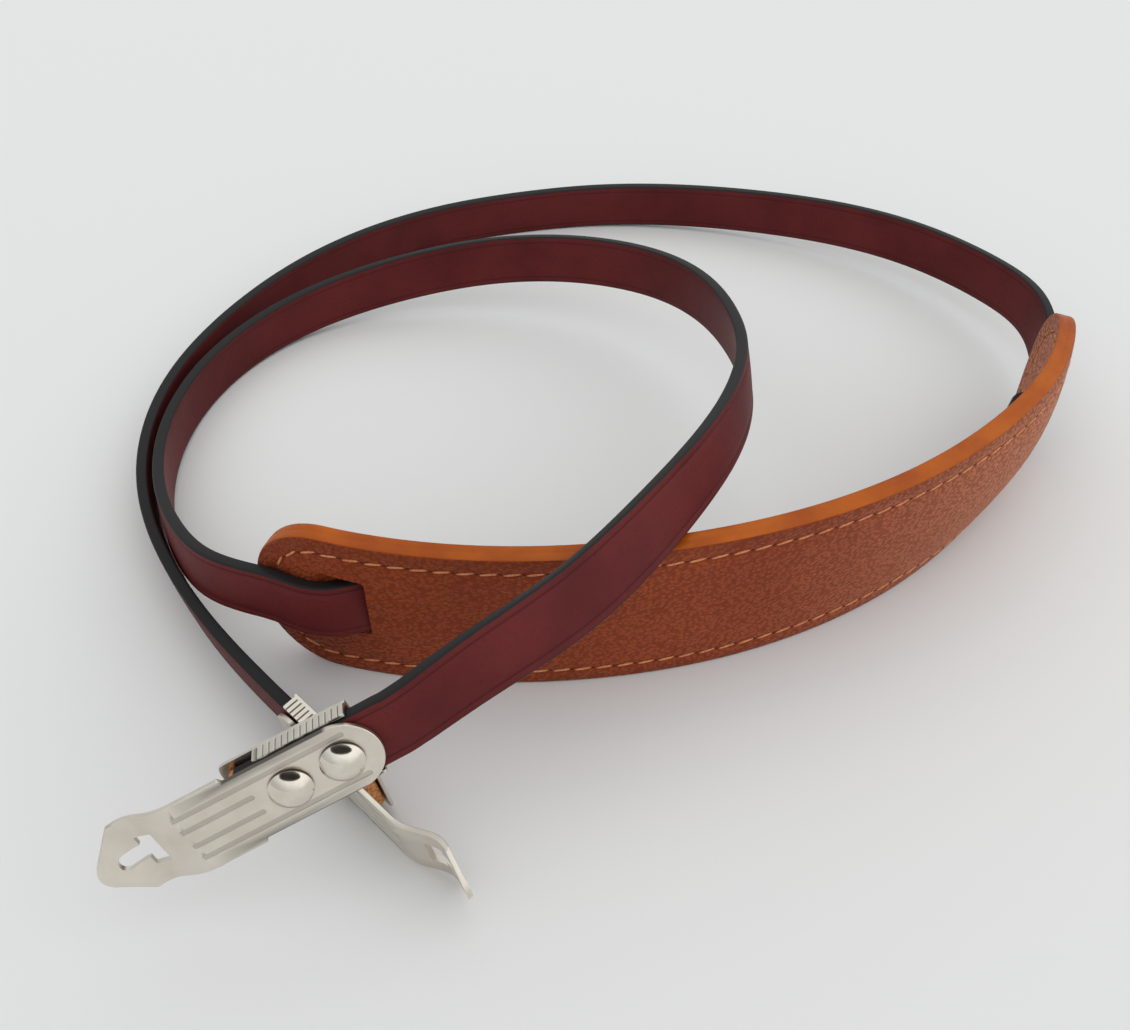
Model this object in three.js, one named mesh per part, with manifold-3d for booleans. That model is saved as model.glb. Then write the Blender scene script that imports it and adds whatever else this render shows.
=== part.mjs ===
// A leather camera neck strap, laid down as a loose double loop: one long flat strap, a shoulder
// pad that the strap is threaded through, and a riveted metal clip at each end of the strap.
// Millimetres, +Z up. The table is at Z = 0 and the origin is under the middle of the part.

import * as THREE from 'three';
import { mergeVertices } from 'three/addons/utils/BufferGeometryUtils.js';
import Module from 'manifold-3d';

const wasm = await Module();
wasm.setup();

// Clearance between pieces that touch on the real strap.
const GAP = 0.35;
const UP = new THREE.Vector3(0, 0, 1);
const MERGE_WITHIN = 1e-4;

// Strap: a flat strip of leather with eased edges.
const STRAP_WIDTH = 12;
const STRAP_THICK = 2.5;
const STRAP_EASE = 0.5;
const STRAP_STEP = 3.8;

// Shoulder pad: two layers of leather sewn together, with round ends and a slot near each end.
const PAD_WIDTH = 38;
const PAD_THICK = 4;
const PAD_END = { length: 15, rise: 17 };
const PAD_STEP = 6;
const CORNER_STEPS = 6;
const PAD_SPANS = 4;

// Slots: the strap slants through each one from the pad's outer face to its inner face, within the dive
// length on each side of the slot's middle.
const LEFT_SLOT = { fromTip: 21.2, length: 11.6, slant: 2, dive: 10, above: 2 };
const RIGHT_SLOT = { fromTip: 12.5, length: 7.8, slant: 0.75, dive: 4.2, above: 0 };
const SLOT_HEIGHT = 13.4;
const DIVE_ROWS = 11;
const DIVE_REACH = 1.6;
const TIP_ROW = 4;
const PAD_ROWS_BETWEEN = 9;

// How far the strap is above the pad's middle line at its left tip, left slot and right tip.
const RISE = { tip: 2.6, slot: 0.4, far: -8.2 };

// How far the strap's top leans in from the pad at its left tip and slot, and how soon that fades behind it.
const TWIST = { tip: -5, slot: -13, fade: 30 };

// Clip plate: a bent strip with a round end on the strap and a keyhole in its tapered head.
const SHEET = 1;
const PLATE_WIDTH = 13.4;
const NECK_FROM = 24.8;
const NECK_STEP = 0.5;
const NECK_WIDTH = 15;
const FIRST_BEND = 36.7;
const SECOND_BEND = 43.8;
const BEND_REACH = 2.4;
const BEND_STEPS = 4;
const BACK_FALL = 3.6;
const TIP_RISE = 2.4;
const PLATE_LENGTH = 52;
const TAPER_FROM = 46.3;
const TIP_ROUND = 3.2;
const KEYHOLE = { from: 40.6, to: 43.8, width: 6.5, slotWidth: 3.2, slotEnd: 46.9 };
const CUTTER_REACH = 12;
const PLATE_CURVE = 14;
const GROOVE_CURVE = 4;
const CHANNEL_CURVE = 6;

// Pressed grooves along the plate, two long ones outside two short ones.
const GROOVE = { width: 1.1, depth: 0.15 };
const GROOVES = [
  { across: 4.5, from: 4, to: 35.5 },
  { across: 1.7, from: 22, to: 35.5 },
  { across: -1.7, from: 22, to: 35.5 },
  { across: -4.5, from: 4, to: 35.5 },
];

// Clip channel: a folded sheet behind the strap with a serrated flange over each strap edge.
const CHANNEL = { sheet: 0.7, from: 2.2, to: 26, flangeFrom: 2.6, flangeTo: 19.2, endRound: 1.2 };
const SERRATION = { pitch: 1.14, depth: 0.3, crest: 0.66, valley: 0.83 };
const FLANGE_REACH = 1.2;

// Rivets through plate, strap and channel.
const RIVET_PLACES = [6.8, 16.3];
const RIVET = { head: 7.4, dome: 1.9, shank: 3, backHead: 5, backRise: 0.8, backRim: 0.3, backEase: 0.5 };
const RIVET_SIDES = 20;
const DOME_RINGS = 6;
const STRAP_END = 25.2;

// Pad's middle line seen from above, from its left tip to its right tip. The lean tips its top outwards
// and the cup bulges it outwards half-way up.
const PAD_ROWS = [
  { x: -58.6, y: -36.7, lean: 1, cup: 0 },
  { x: -44, y: -42.7, lean: 2, cup: 0 },
  { x: -22, y: -46.8, lean: 3, cup: 0 },
  { x: 2, y: -46.8, lean: 3.5, cup: 0 },
  { x: 27, y: -42.7, lean: 4, cup: 0 },
  { x: 50, y: -34.7, lean: 5.5, cup: 0 },
  { x: 70, y: -23.3, lean: 7, cup: 0.6 },
  { x: 86, y: -9.5, lean: 8.5, cup: 2 },
  { x: 98.5, y: 5.5, lean: 10, cup: 3.4 },
  { x: 105.8, y: 20, lean: 9.5, cup: 2.2 },
  { x: 110, y: 34.4, lean: 3, cup: 0.4 },
];

// Strap's middle line from the first clip, over the pad and round the inner loop to the pad's left tip.
const INNER_ROWS = [
  { x: -13.5, y: -76.9, z: 43.6, lean: -29 },
  { x: 1.8, y: -65, z: 44, lean: -39.5 },
  { x: 14.8, y: -48.5, z: 44.8, lean: -35.5 },
  { x: 25.8, y: -30.6, z: 43, lean: -26 },
  { x: 34, y: -12, z: 39, lean: -20 },
  { x: 38.7, y: 8, z: 35, lean: -10 },
  { x: 37.8, y: 26, z: 31, lean: -4 },
  { x: 33.5, y: 45, z: 27, lean: 2 },
  { x: 23, y: 63, z: 22, lean: 9 },
  { x: 4, y: 75, z: 18, lean: 14 },
  { x: -17, y: 79, z: 15, lean: 14 },
  { x: -37, y: 78, z: 11.5, lean: 10 },
  { x: -57, y: 73, z: 8, lean: 5 },
  { x: -75, y: 61, z: 6.3, lean: 0 },
  { x: -87.8, y: 41, z: 6, lean: 0 },
  { x: -91.8, y: 17, z: 7, lean: 0 },
  { x: -87.5, y: -6, z: 10, lean: 0 },
  { x: -79, y: -24, z: 15.2, lean: -3 },
  { x: -69.8, y: -36.8, z: 19.2, lean: -5 },
];

// Strap's middle line from the pad's right tip round the outer loop to the second clip.
const OUTER_ROWS = [
  { x: 117, y: 50.5, z: 15.8, lean: 8 },
  { x: 112.2, y: 68.5, z: 13.5, lean: 11 },
  { x: 95.5, y: 91, z: 11, lean: 11 },
  { x: 76, y: 104, z: 9.5, lean: 9 },
  { x: 54, y: 112.5, z: 8, lean: 6 },
  { x: 32, y: 117.5, z: 7, lean: 4 },
  { x: 10, y: 119, z: 6.3, lean: 2 },
  { x: -12, y: 115.5, z: 6, lean: 0 },
  { x: -34, y: 109, z: 6, lean: 0 },
  { x: -55, y: 97, z: 6, lean: 0 },
  { x: -73.5, y: 79, z: 6, lean: 0 },
  { x: -88.8, y: 53, z: 6, lean: 0 },
  { x: -95.9, y: 28, z: 6, lean: 0 },
  { x: -94, y: 1.9, z: 6, lean: 4 },
  { x: -84.2, y: -20.4, z: 6.3, lean: 10 },
  { x: -69.9, y: -41.3, z: 6.9, lean: 9.5 },
];

// Where the strap enters each clip, which way the clip points and how far it tips.
const CLIP_A = { x: -29.8, y: -85.2, z: 36.2, heading: 197.5, drop: 22.5, lean: -18 };
const CLIP_B = { x: -51.7, y: -60.9, z: 8.2, heading: -45.5, drop: 0, lean: 10 };
const CLIP_LEAD = [-5, -2.5];

// Colours and finishes.
const FINISH = {
  strap: { color: 0x55292a, roughness: 0.45, metalness: 0 },
  pad: { color: 0x9a4a20, roughness: 0.6, metalness: 0 },
  metal: { color: 0xc8c3b8, roughness: 0.25, metalness: 1 },
};

const radians = THREE.MathUtils.degToRad;

// Rows along a uniform cubic spline that starts on the first row and ends on the last one.
function splineRows(rows, step) {
  const keys = Object.keys(rows[0]);
  const beyond = (a, b) => Object.fromEntries(keys.map((key) => [key, 2 * a[key] - b[key]]));
  const knots = [beyond(rows[0], rows[1]), ...rows, beyond(rows.at(-1), rows.at(-2))];
  const blend = (span, t) => {
    const weights = [(1 - t) ** 3, 3 * t ** 3 - 6 * t ** 2 + 4, -3 * t ** 3 + 3 * t ** 2 + 3 * t + 1, t ** 3];
    const mixed = (key) => weights.reduce((sum, weight, i) => sum + (weight * knots[span + i][key]) / 6, 0);
    return Object.fromEntries(keys.map((key) => [key, mixed(key)]));
  };
  const result = [];
  for (let span = 0; span < rows.length - 1; span++) {
    const length = Math.hypot(rows[span + 1].x - rows[span].x, rows[span + 1].y - rows[span].y);
    const steps = Math.max(1, Math.round(length / step));
    for (let k = 0; k < steps; k++) {
      result.push(blend(span, k / steps));
    }
  }
  result.push(blend(rows.length - 2, 1));
  return result;
}

// Directions of a flat strip that runs along `along`: `wide` up its width, `face` out of its outer side.
function stripFrame(along, lean) {
  const side = new THREE.Vector3().crossVectors(along, UP).normalize();
  const rise = new THREE.Vector3().crossVectors(side, along);
  const angle = radians(lean);
  const wide = rise.clone().multiplyScalar(Math.cos(angle)).addScaledVector(side, Math.sin(angle));
  const face = side.multiplyScalar(Math.cos(angle)).addScaledVector(rise, -Math.sin(angle));
  return { along, wide, face };
}

// Stations of a strip: a point, its directions and its distance from the start, for each row.
function stripStations(rows) {
  const points = rows.map((row) => new THREE.Vector3(row.x, row.y, row.z));
  let distance = 0;
  return rows.map((row, i) => {
    const before = points[Math.max(i - 1, 0)];
    const after = points[Math.min(i + 1, points.length - 1)];
    const along = new THREE.Vector3().subVectors(after, before).normalize();
    distance += i > 0 ? points[i].distanceTo(points[i - 1]) : 0;
    return { point: points[i], distance, lean: row.lean, cup: row.cup, ...stripFrame(along, row.lean) };
  });
}

// Closed surface through rings of points that run anticlockwise, seen from the last ring.
function loft(rings) {
  const count = rings[0].length;
  const positions = rings.flat().flatMap((point) => [point.x, point.y, point.z]);
  const faces = [];
  for (let ring = 0; ring < rings.length - 1; ring++) {
    for (let i = 0; i < count; i++) {
      const a = ring * count + i;
      const b = ring * count + ((i + 1) % count);
      faces.push(a, b, b + count, a, b + count, a + count);
    }
  }
  const last = (rings.length - 1) * count;
  for (let i = 1; i < count - 1; i++) {
    faces.push(0, i + 1, i, last, last + i, last + i + 1);
  }
  const geometry = new THREE.BufferGeometry();
  geometry.setAttribute('position', new THREE.Float32BufferAttribute(positions, 3));
  geometry.setIndex(faces);
  return geometry;
}

// Point of a strip's cross-section: `up` its width and `out` of its outer face.
function sectionPoint(station, up, out) {
  return station.point.clone().addScaledVector(station.wide, up).addScaledVector(station.face, out);
}

function toSolid(geometry) {
  const bare = geometry.clone();
  bare.deleteAttribute('normal');
  bare.deleteAttribute('uv');
  const merged = mergeVertices(bare, MERGE_WITHIN);
  const vertProperties = new Float32Array(merged.attributes.position.array);
  const triVerts = new Uint32Array(merged.index.array);
  return new wasm.Manifold(new wasm.Mesh({ numProp: 3, vertProperties, triVerts }));
}

function toGeometry(solid) {
  const { vertProperties, triVerts } = solid.getMesh();
  const geometry = new THREE.BufferGeometry();
  geometry.setAttribute('position', new THREE.Float32BufferAttribute(vertProperties, 3));
  geometry.setIndex([...triVerts]);
  geometry.computeVertexNormals();
  return geometry;
}

function cut(geometry, ...tools) {
  const solid = tools.reduce((rest, tool) => rest.subtract(toSolid(tool)), toSolid(geometry));
  return toGeometry(solid);
}

function join(geometry, ...others) {
  const solid = others.reduce((whole, other) => whole.add(toSolid(other)), toSolid(geometry));
  return toGeometry(solid);
}

function extrude(shape, depth, curveSegments = 1) {
  return new THREE.ExtrudeGeometry(shape, { depth, bevelEnabled: false, curveSegments });
}

function polygon(corners) {
  return new THREE.Shape(corners.map(([x, y]) => new THREE.Vector2(x, y)));
}

function roundPin(diameter, from, to) {
  const pin = new THREE.CylinderGeometry(diameter / 2, diameter / 2, to - from, RIVET_SIDES);
  return pin.rotateX(Math.PI / 2).translate(0, 0, (from + to) / 2);
}

function named(name, geometry, finish) {
  const mesh = new THREE.Mesh(geometry, new THREE.MeshStandardMaterial(finish));
  mesh.name = name;
  return mesh;
}

// Pad

const padMiddle = stripStations(
  splineRows(PAD_ROWS, PAD_STEP).map((row) => {
    const lean = radians(row.lean);
    return { ...row, z: (PAD_WIDTH * Math.cos(lean) + PAD_THICK * Math.sin(lean)) / 2 };
  }),
);
const padLength = padMiddle.at(-1).distance;

// Pad station at a distance from its left tip.
function padAt(distance) {
  const next = padMiddle.findIndex((station) => station.distance > distance);
  const b = padMiddle[next < 0 ? padMiddle.length - 1 : Math.max(next, 1)];
  const a = padMiddle[padMiddle.indexOf(b) - 1];
  const t = (distance - a.distance) / (b.distance - a.distance);
  const mix = (key) => a[key].clone().lerp(b[key], t);
  const along = mix('along').normalize();
  const lean = a.lean + (b.lean - a.lean) * t;
  const cup = a.cup + (b.cup - a.cup) * t;
  return { point: mix('point'), distance, lean, cup, ...stripFrame(along, lean) };
}

// How far the pad bulges outwards at a height `up` from its middle line.
function padBulge(station, up) {
  return station.cup * (1 - ((2 * up) / PAD_WIDTH) ** 2);
}

// Half the pad's width at a distance from its tip, where its corners are parts of an ellipse.
function padHalfWidth(fromTip) {
  const inCorner = Math.max(1 - fromTip / PAD_END.length, 0);
  return PAD_WIDTH / 2 - PAD_END.rise * (1 - Math.sqrt(1 - inCorner ** 2));
}

function padGeometry() {
  const corner = (k) => PAD_END.length * (1 - Math.cos((k / CORNER_STEPS) * (Math.PI / 2)));
  const leftTip = Array.from({ length: CORNER_STEPS + 1 }, (_, k) => corner(k));
  const straight = padLength - 2 * PAD_END.length;
  const steps = Math.round(straight / PAD_STEP);
  const middle = Array.from({ length: steps - 1 }, (_, k) => PAD_END.length + (straight * (k + 1)) / steps);
  const rightTip = leftTip.map((distance) => padLength - distance).reverse();
  const rings = [...leftTip, ...middle, ...rightTip].map((distance) => {
    const station = padAt(distance);
    const half = padHalfWidth(Math.min(distance, padLength - distance));
    const heights = Array.from({ length: PAD_SPANS + 1 }, (_, k) => half * ((2 * k) / PAD_SPANS - 1));
    const layer = (out) => heights.map((up) => sectionPoint(station, up, padBulge(station, up) + out));
    return [...layer(-PAD_THICK / 2), ...layer(PAD_THICK / 2).reverse()];
  });
  return loft(rings);
}

// How far the strap's middle line is above the pad's at a distance from the pad's left tip.
function strapRise(distance) {
  const past = distance - LEFT_SLOT.fromTip;
  if (past < 0) {
    return THREE.MathUtils.lerp(RISE.slot, RISE.tip, -past / LEFT_SLOT.fromTip);
  }
  return THREE.MathUtils.lerp(RISE.slot, RISE.far, past / (padLength - LEFT_SLOT.fromTip));
}

// Slanted slot near a tip. `inward` is 1 at the left tip and -1 at the right one.
function slotTool(slot, inward) {
  const distance = inward > 0 ? slot.fromTip : padLength - slot.fromTip;
  const station = padAt(distance);
  const reach = PAD_THICK;
  const run = reach * slot.slant * inward;
  const half = slot.length / 2;
  const outer = [[half - run, reach], [-half - run, reach]];
  const inner = [[-half + run, -reach], [half + run, -reach]];
  const shape = polygon([...outer, ...inner]);
  const top = SLOT_HEIGHT / 2 + slot.above;
  const geometry = extrude(shape, SLOT_HEIGHT + slot.above).translate(0, 0, -top);
  const climb = (strapRise(distance + 1) - strapRise(distance - 1)) / 2;
  const along = station.along.clone().addScaledVector(station.wide, climb);
  const basis = new THREE.Matrix4().makeBasis(along, station.face, station.wide.clone().negate());
  const rise = strapRise(distance);
  return geometry.applyMatrix4(basis.setPosition(sectionPoint(station, rise, padBulge(station, rise))));
}

// Strap

// A clip's directions: `out` towards its tip, `across` its width and `face` on the strap's outer side.
function clipFrame(clip, travel) {
  const heading = radians(clip.heading);
  const drop = radians(clip.drop);
  const level = Math.cos(drop);
  const out = new THREE.Vector3(Math.cos(heading) * level, Math.sin(heading) * level, -Math.sin(drop));
  const { wide, face } = stripFrame(out.clone().multiplyScalar(travel), clip.lean);
  const across = wide.multiplyScalar(travel);
  return { out, across, face, origin: new THREE.Vector3(clip.x, clip.y, clip.z) };
}

const frameA = clipFrame(CLIP_A, -1);
const frameB = clipFrame(CLIP_B, 1);

// Row of the strap at a distance inside a clip, or before it where the distance is negative.
function clipRow(clip, frame, distance) {
  const point = frame.origin.clone().addScaledVector(frame.out, distance);
  return { x: point.x, y: point.y, z: point.z, lean: clip.lean };
}

const smooth = (t) => THREE.MathUtils.smoothstep(t, 0, 1);

// How far the strap leans away from the pad at a distance from the pad's left tip.
function strapTwist(distance) {
  const before = Math.min(distance / LEFT_SLOT.fromTip, 1);
  const faded = smooth((distance - LEFT_SLOT.fromTip) / TWIST.fade);
  return THREE.MathUtils.lerp(TWIST.tip, TWIST.slot, before) * (1 - faded);
}

// Row of the strap at a distance along the pad: outside it at both tips and inside it between the slots.
function alongPadRow(distance) {
  const station = padAt(distance);
  const atLeft = distance < padLength / 2;
  const slot = atLeft ? LEFT_SLOT : RIGHT_SLOT;
  const pastSlot = (atLeft ? distance : padLength - distance) - slot.fromTip;
  const inside = smooth((pastSlot + slot.dive) / (2 * slot.dive));
  const rise = strapRise(distance);
  const bulge = padBulge(station, (Math.abs(rise) + STRAP_WIDTH / 2) * inside);
  const twist = strapTwist(distance);
  const swing = Math.abs(Math.sin(radians(twist))) * (STRAP_WIDTH / 2);
  const clear = (PAD_THICK + STRAP_THICK) / 2 + GAP + swing;
  const point = sectionPoint(station, rise, bulge + clear * (1 - 2 * inside));
  return { x: point.x, y: point.y, z: point.z, lean: station.lean + twist };
}

// Rows of the strap from one pad tip to the other, close together where it slants through the slots.
function alongPadRows() {
  const spread = (from, to, count) =>
    Array.from({ length: count }, (_, k) => from + ((to - from) * k) / (count - 1));
  const leftReach = DIVE_REACH * LEFT_SLOT.dive;
  const rightReach = DIVE_REACH * RIGHT_SLOT.dive;
  const first = LEFT_SLOT.fromTip + leftReach;
  const last = padLength - RIGHT_SLOT.fromTip - rightReach;
  const margin = (last - first) / PAD_ROWS_BETWEEN;
  const rows = [
    TIP_ROW,
    ...spread(first - 2 * leftReach, first, DIVE_ROWS),
    ...spread(first + margin, last - margin, PAD_ROWS_BETWEEN - 1),
    ...spread(last, last + 2 * rightReach, DIVE_ROWS),
    padLength - TIP_ROW,
  ];
  return rows.map(alongPadRow);
}

const strapStations = stripStations(
  splineRows(
    [
      clipRow(CLIP_A, frameA, STRAP_END),
      ...CLIP_LEAD.map((lead) => clipRow(CLIP_A, frameA, lead)).reverse(),
      ...INNER_ROWS,
      ...alongPadRows(),
      ...OUTER_ROWS,
      ...CLIP_LEAD.map((lead) => clipRow(CLIP_B, frameB, lead)),
      clipRow(CLIP_B, frameB, STRAP_END),
    ],
    STRAP_STEP,
  ),
);

function strapGeometry() {
  const up = STRAP_WIDTH / 2;
  const out = STRAP_THICK / 2;
  const e = STRAP_EASE;
  const section = [
    [-up, out - e], [-up, -out + e], [-up + e, -out], [up - e, -out],
    [up, -out + e], [up, out - e], [up - e, out], [-up + e, out],
  ];
  return loft(strapStations.map((station) => section.map(([u, n]) => sectionPoint(station, u, n))));
}

// Clip pieces, in the clip's own directions: X towards the tip, Y across and Z out of the outer face.
// The strap's middle plane is at Z = 0.

const plateBack = STRAP_THICK / 2 + GAP;
const channelBack = -STRAP_THICK / 2 - GAP - CHANNEL.sheet;
const channelHalf = STRAP_WIDTH / 2 + GAP + CHANNEL.sheet;

function plateOutline() {
  const half = PLATE_WIDTH / 2;
  const neck = NECK_WIDTH / 2;
  const neckEnd = NECK_FROM + NECK_STEP;
  const shape = new THREE.Shape();
  shape.absarc(half, 0, half, Math.PI / 2, (3 * Math.PI) / 2, false);
  shape.lineTo(NECK_FROM, -half);
  shape.lineTo(neckEnd, -neck);
  shape.lineTo(TAPER_FROM, -neck);
  shape.lineTo(PLATE_LENGTH - TIP_ROUND / 2, -TIP_ROUND);
  shape.quadraticCurveTo(PLATE_LENGTH, -TIP_ROUND / 2, PLATE_LENGTH, 0);
  shape.quadraticCurveTo(PLATE_LENGTH, TIP_ROUND / 2, PLATE_LENGTH - TIP_ROUND / 2, TIP_ROUND);
  shape.lineTo(TAPER_FROM, neck);
  shape.lineTo(neckEnd, neck);
  shape.lineTo(NECK_FROM, half);
  const { from, to, width, slotWidth, slotEnd } = KEYHOLE;
  const keyhole = new THREE.Path();
  keyhole.moveTo(from, -width / 2);
  keyhole.lineTo(from, width / 2);
  keyhole.lineTo(to, width / 2);
  keyhole.lineTo(to, slotWidth / 2);
  keyhole.absarc(slotEnd, 0, slotWidth / 2, Math.PI / 2, -Math.PI / 2, true);
  keyhole.lineTo(to, -slotWidth / 2);
  keyhole.lineTo(to, -width / 2);
  shape.holes.push(keyhole);
  for (const along of RIVET_PLACES) {
    shape.holes.push(new THREE.Path().absarc(along, 0, RIVET.shank / 2 + GAP, 0, 2 * Math.PI, true));
  }
  return shape;
}

// Line through corners, with each corner between its ends eased into a short curve.
function easedLine(corners) {
  const points = corners.map(([x, z]) => new THREE.Vector2(x, z));
  const eased = points.slice(1, -1).flatMap((corner, i) => {
    const towards = (end) => end.clone().sub(corner).setLength(BEND_REACH).add(corner);
    const curve = new THREE.QuadraticBezierCurve(towards(points[i]), corner, towards(points[i + 2]));
    return curve.getPoints(BEND_STEPS);
  });
  return [points[0], ...eased, points.at(-1)].map((point) => point.toArray());
}

// The plate's bent strip seen from its edge, cut to the plate's outline, with the grooves pressed in.
function plateGeometry() {
  const low = plateBack - BACK_FALL;
  const slope = TIP_RISE / (PLATE_LENGTH - SECOND_BEND);
  const beyond = PLATE_LENGTH + SHEET;
  const end = low + slope * (beyond - SECOND_BEND);
  const line = easedLine([[-SHEET, plateBack], [FIRST_BEND, plateBack], [SECOND_BEND, low], [beyond, end]]);
  const upper = line.map(([x, z]) => [x, z + SHEET]).reverse();
  const strip = extrude(polygon([...line, ...upper]), 2 * NECK_WIDTH);
  strip.translate(0, 0, -NECK_WIDTH).rotateX(Math.PI / 2);
  const outline = extrude(plateOutline(), 2 * CUTTER_REACH, PLATE_CURVE).translate(0, 0, -CUTTER_REACH);
  const plate = toGeometry(toSolid(strip).intersect(toSolid(outline)));
  const grooves = GROOVES.map(({ across, from, to }) => {
    const half = GROOVE.width / 2;
    const shape = new THREE.Shape();
    shape.absarc(from + half, across, half, Math.PI / 2, (3 * Math.PI) / 2, false);
    shape.absarc(to - half, across, half, -Math.PI / 2, Math.PI / 2, false);
    return extrude(shape, SHEET, GROOVE_CURVE).translate(0, 0, plateBack + SHEET - GROOVE.depth);
  });
  return cut(plate, ...grooves);
}

function channelGeometry() {
  const { sheet, from, to, flangeFrom, flangeTo, endRound } = CHANNEL;
  const back = new THREE.Shape();
  back.moveTo(from, -channelHalf);
  back.lineTo(to - endRound, -channelHalf);
  back.quadraticCurveTo(to, -channelHalf, to, -channelHalf + 2 * endRound);
  back.lineTo(to, channelHalf - 2 * endRound);
  back.quadraticCurveTo(to, channelHalf, to - endRound, channelHalf);
  back.lineTo(from, channelHalf);
  for (const along of RIVET_PLACES) {
    back.holes.push(new THREE.Path().absarc(along, 0, RIVET.shank / 2 + GAP, 0, 2 * Math.PI, true));
  }
  const backSheet = extrude(back, sheet, CHANNEL_CURVE).translate(0, 0, channelBack);
  const teeth = Math.floor((flangeTo - flangeFrom) / SERRATION.pitch);
  const flange = (side) => {
    const edge = [];
    for (let k = 0; k < teeth; k++) {
      const start = flangeFrom + k * SERRATION.pitch;
      edge.push([start, side * channelHalf]);
      edge.push([start + SERRATION.crest * SERRATION.pitch, side * channelHalf]);
      edge.push([start + SERRATION.valley * SERRATION.pitch, side * (channelHalf - SERRATION.depth)]);
    }
    edge.push([flangeTo, side * channelHalf]);
    edge.push([flangeTo, side * (channelHalf - sheet)]);
    edge.push([flangeFrom, side * (channelHalf - sheet)]);
    return extrude(polygon(edge), FLANGE_REACH - channelBack).translate(0, 0, channelBack);
  };
  return join(backSheet, flange(1), flange(-1));
}

function rivetGeometry() {
  const seat = plateBack + SHEET + GAP;
  const foot = channelBack - GAP;
  const head = RIVET.head / 2;
  const dome = (head ** 2 + RIVET.dome ** 2) / (2 * RIVET.dome);
  const half = Math.asin(head / dome);
  const profile = [new THREE.Vector2(0, foot - RIVET.backRise)];
  profile.push(new THREE.Vector2(RIVET.backHead / 2 - RIVET.backEase, foot - RIVET.backRise));
  profile.push(new THREE.Vector2(RIVET.backHead / 2, foot - RIVET.backRim));
  profile.push(new THREE.Vector2(RIVET.backHead / 2, foot));
  profile.push(new THREE.Vector2(RIVET.shank / 2, foot));
  profile.push(new THREE.Vector2(RIVET.shank / 2, seat));
  for (let k = 0; k <= DOME_RINGS; k++) {
    const angle = half * (1 - k / DOME_RINGS);
    const height = seat + RIVET.dome - dome * (1 - Math.cos(angle));
    profile.push(new THREE.Vector2(k === DOME_RINGS ? 0 : dome * Math.sin(angle), height));
  }
  return new THREE.LatheGeometry(profile, RIVET_SIDES).rotateX(Math.PI / 2);
}

function clipGroup(name, frame) {
  const group = new THREE.Group();
  const basis = new THREE.Matrix4().makeBasis(frame.out, frame.across, frame.face);
  group.position.copy(frame.origin);
  group.quaternion.setFromRotationMatrix(basis);
  group.add(named(`${name}_plate`, plateGeometry(), FINISH.metal));
  group.add(named(`${name}_channel`, channelGeometry(), FINISH.metal));
  RIVET_PLACES.forEach((along, i) => {
    const rivet = named(`${name}_rivet_${i + 1}`, rivetGeometry(), FINISH.metal);
    rivet.position.x = along;
    group.add(rivet);
  });
  group.updateMatrixWorld(true);
  return group;
}

const clips = [clipGroup('clip_a', frameA), clipGroup('clip_b', frameB)];

// Holes in the strap for the rivets of both clips.
const rivetHoles = clips.flatMap((clip) =>
  RIVET_PLACES.map((along) => {
    const hole = roundPin(RIVET.shank + 2 * GAP, -STRAP_THICK, STRAP_THICK);
    return hole.translate(along, 0, 0).applyMatrix4(clip.matrixWorld);
  }),
);

const strap = named('strap', cut(strapGeometry(), ...rivetHoles), FINISH.strap);
const slots = [slotTool(LEFT_SLOT, 1), slotTool(RIGHT_SLOT, -1)];
const pad = named('pad', cut(padGeometry(), ...slots), FINISH.pad);

const neckStrap = new THREE.Group();
neckStrap.add(strap, pad, ...clips);

// The origin goes under the middle of the part, at its lowest point.
const bounds = new THREE.Box3().setFromObject(neckStrap, true);
const middle = bounds.getCenter(new THREE.Vector3());
neckStrap.position.set(-middle.x, -middle.y, -bounds.min.z);

export default neckStrap;
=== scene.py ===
import math

import bpy
import numpy as np
from mathutils import Matrix, Vector


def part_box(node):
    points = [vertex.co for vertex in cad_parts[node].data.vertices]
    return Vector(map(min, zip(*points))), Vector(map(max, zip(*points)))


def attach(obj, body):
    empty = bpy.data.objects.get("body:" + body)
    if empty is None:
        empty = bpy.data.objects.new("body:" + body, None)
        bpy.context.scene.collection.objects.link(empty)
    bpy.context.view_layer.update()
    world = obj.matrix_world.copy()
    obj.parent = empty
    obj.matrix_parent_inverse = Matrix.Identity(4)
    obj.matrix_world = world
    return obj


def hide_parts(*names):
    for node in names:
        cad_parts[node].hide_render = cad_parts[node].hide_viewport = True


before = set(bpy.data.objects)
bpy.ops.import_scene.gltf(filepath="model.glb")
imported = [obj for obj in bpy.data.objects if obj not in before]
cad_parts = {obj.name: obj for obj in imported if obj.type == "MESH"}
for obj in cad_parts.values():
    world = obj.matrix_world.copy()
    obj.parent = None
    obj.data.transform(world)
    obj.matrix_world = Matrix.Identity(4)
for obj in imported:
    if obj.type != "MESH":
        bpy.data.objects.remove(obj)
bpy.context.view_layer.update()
bpy.ops.object.select_all(action="DESELECT")

# Shoulder pad
# Two layers of pebbled tan leather, glued together and sewn around the edge, which is painted orange.
# It stands on its long edge, bent into a shallow bow, with a slot near each end for the strap.

UP = np.array([0.0, 0.0, 1.0])
pad_width = 0.038
pad_thick = 0.004
pad_end_length = 0.015
pad_end_rise = 0.017
pad_step = 0.0012
pad_corner_steps = 14
pad_tip_steps = 4
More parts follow.
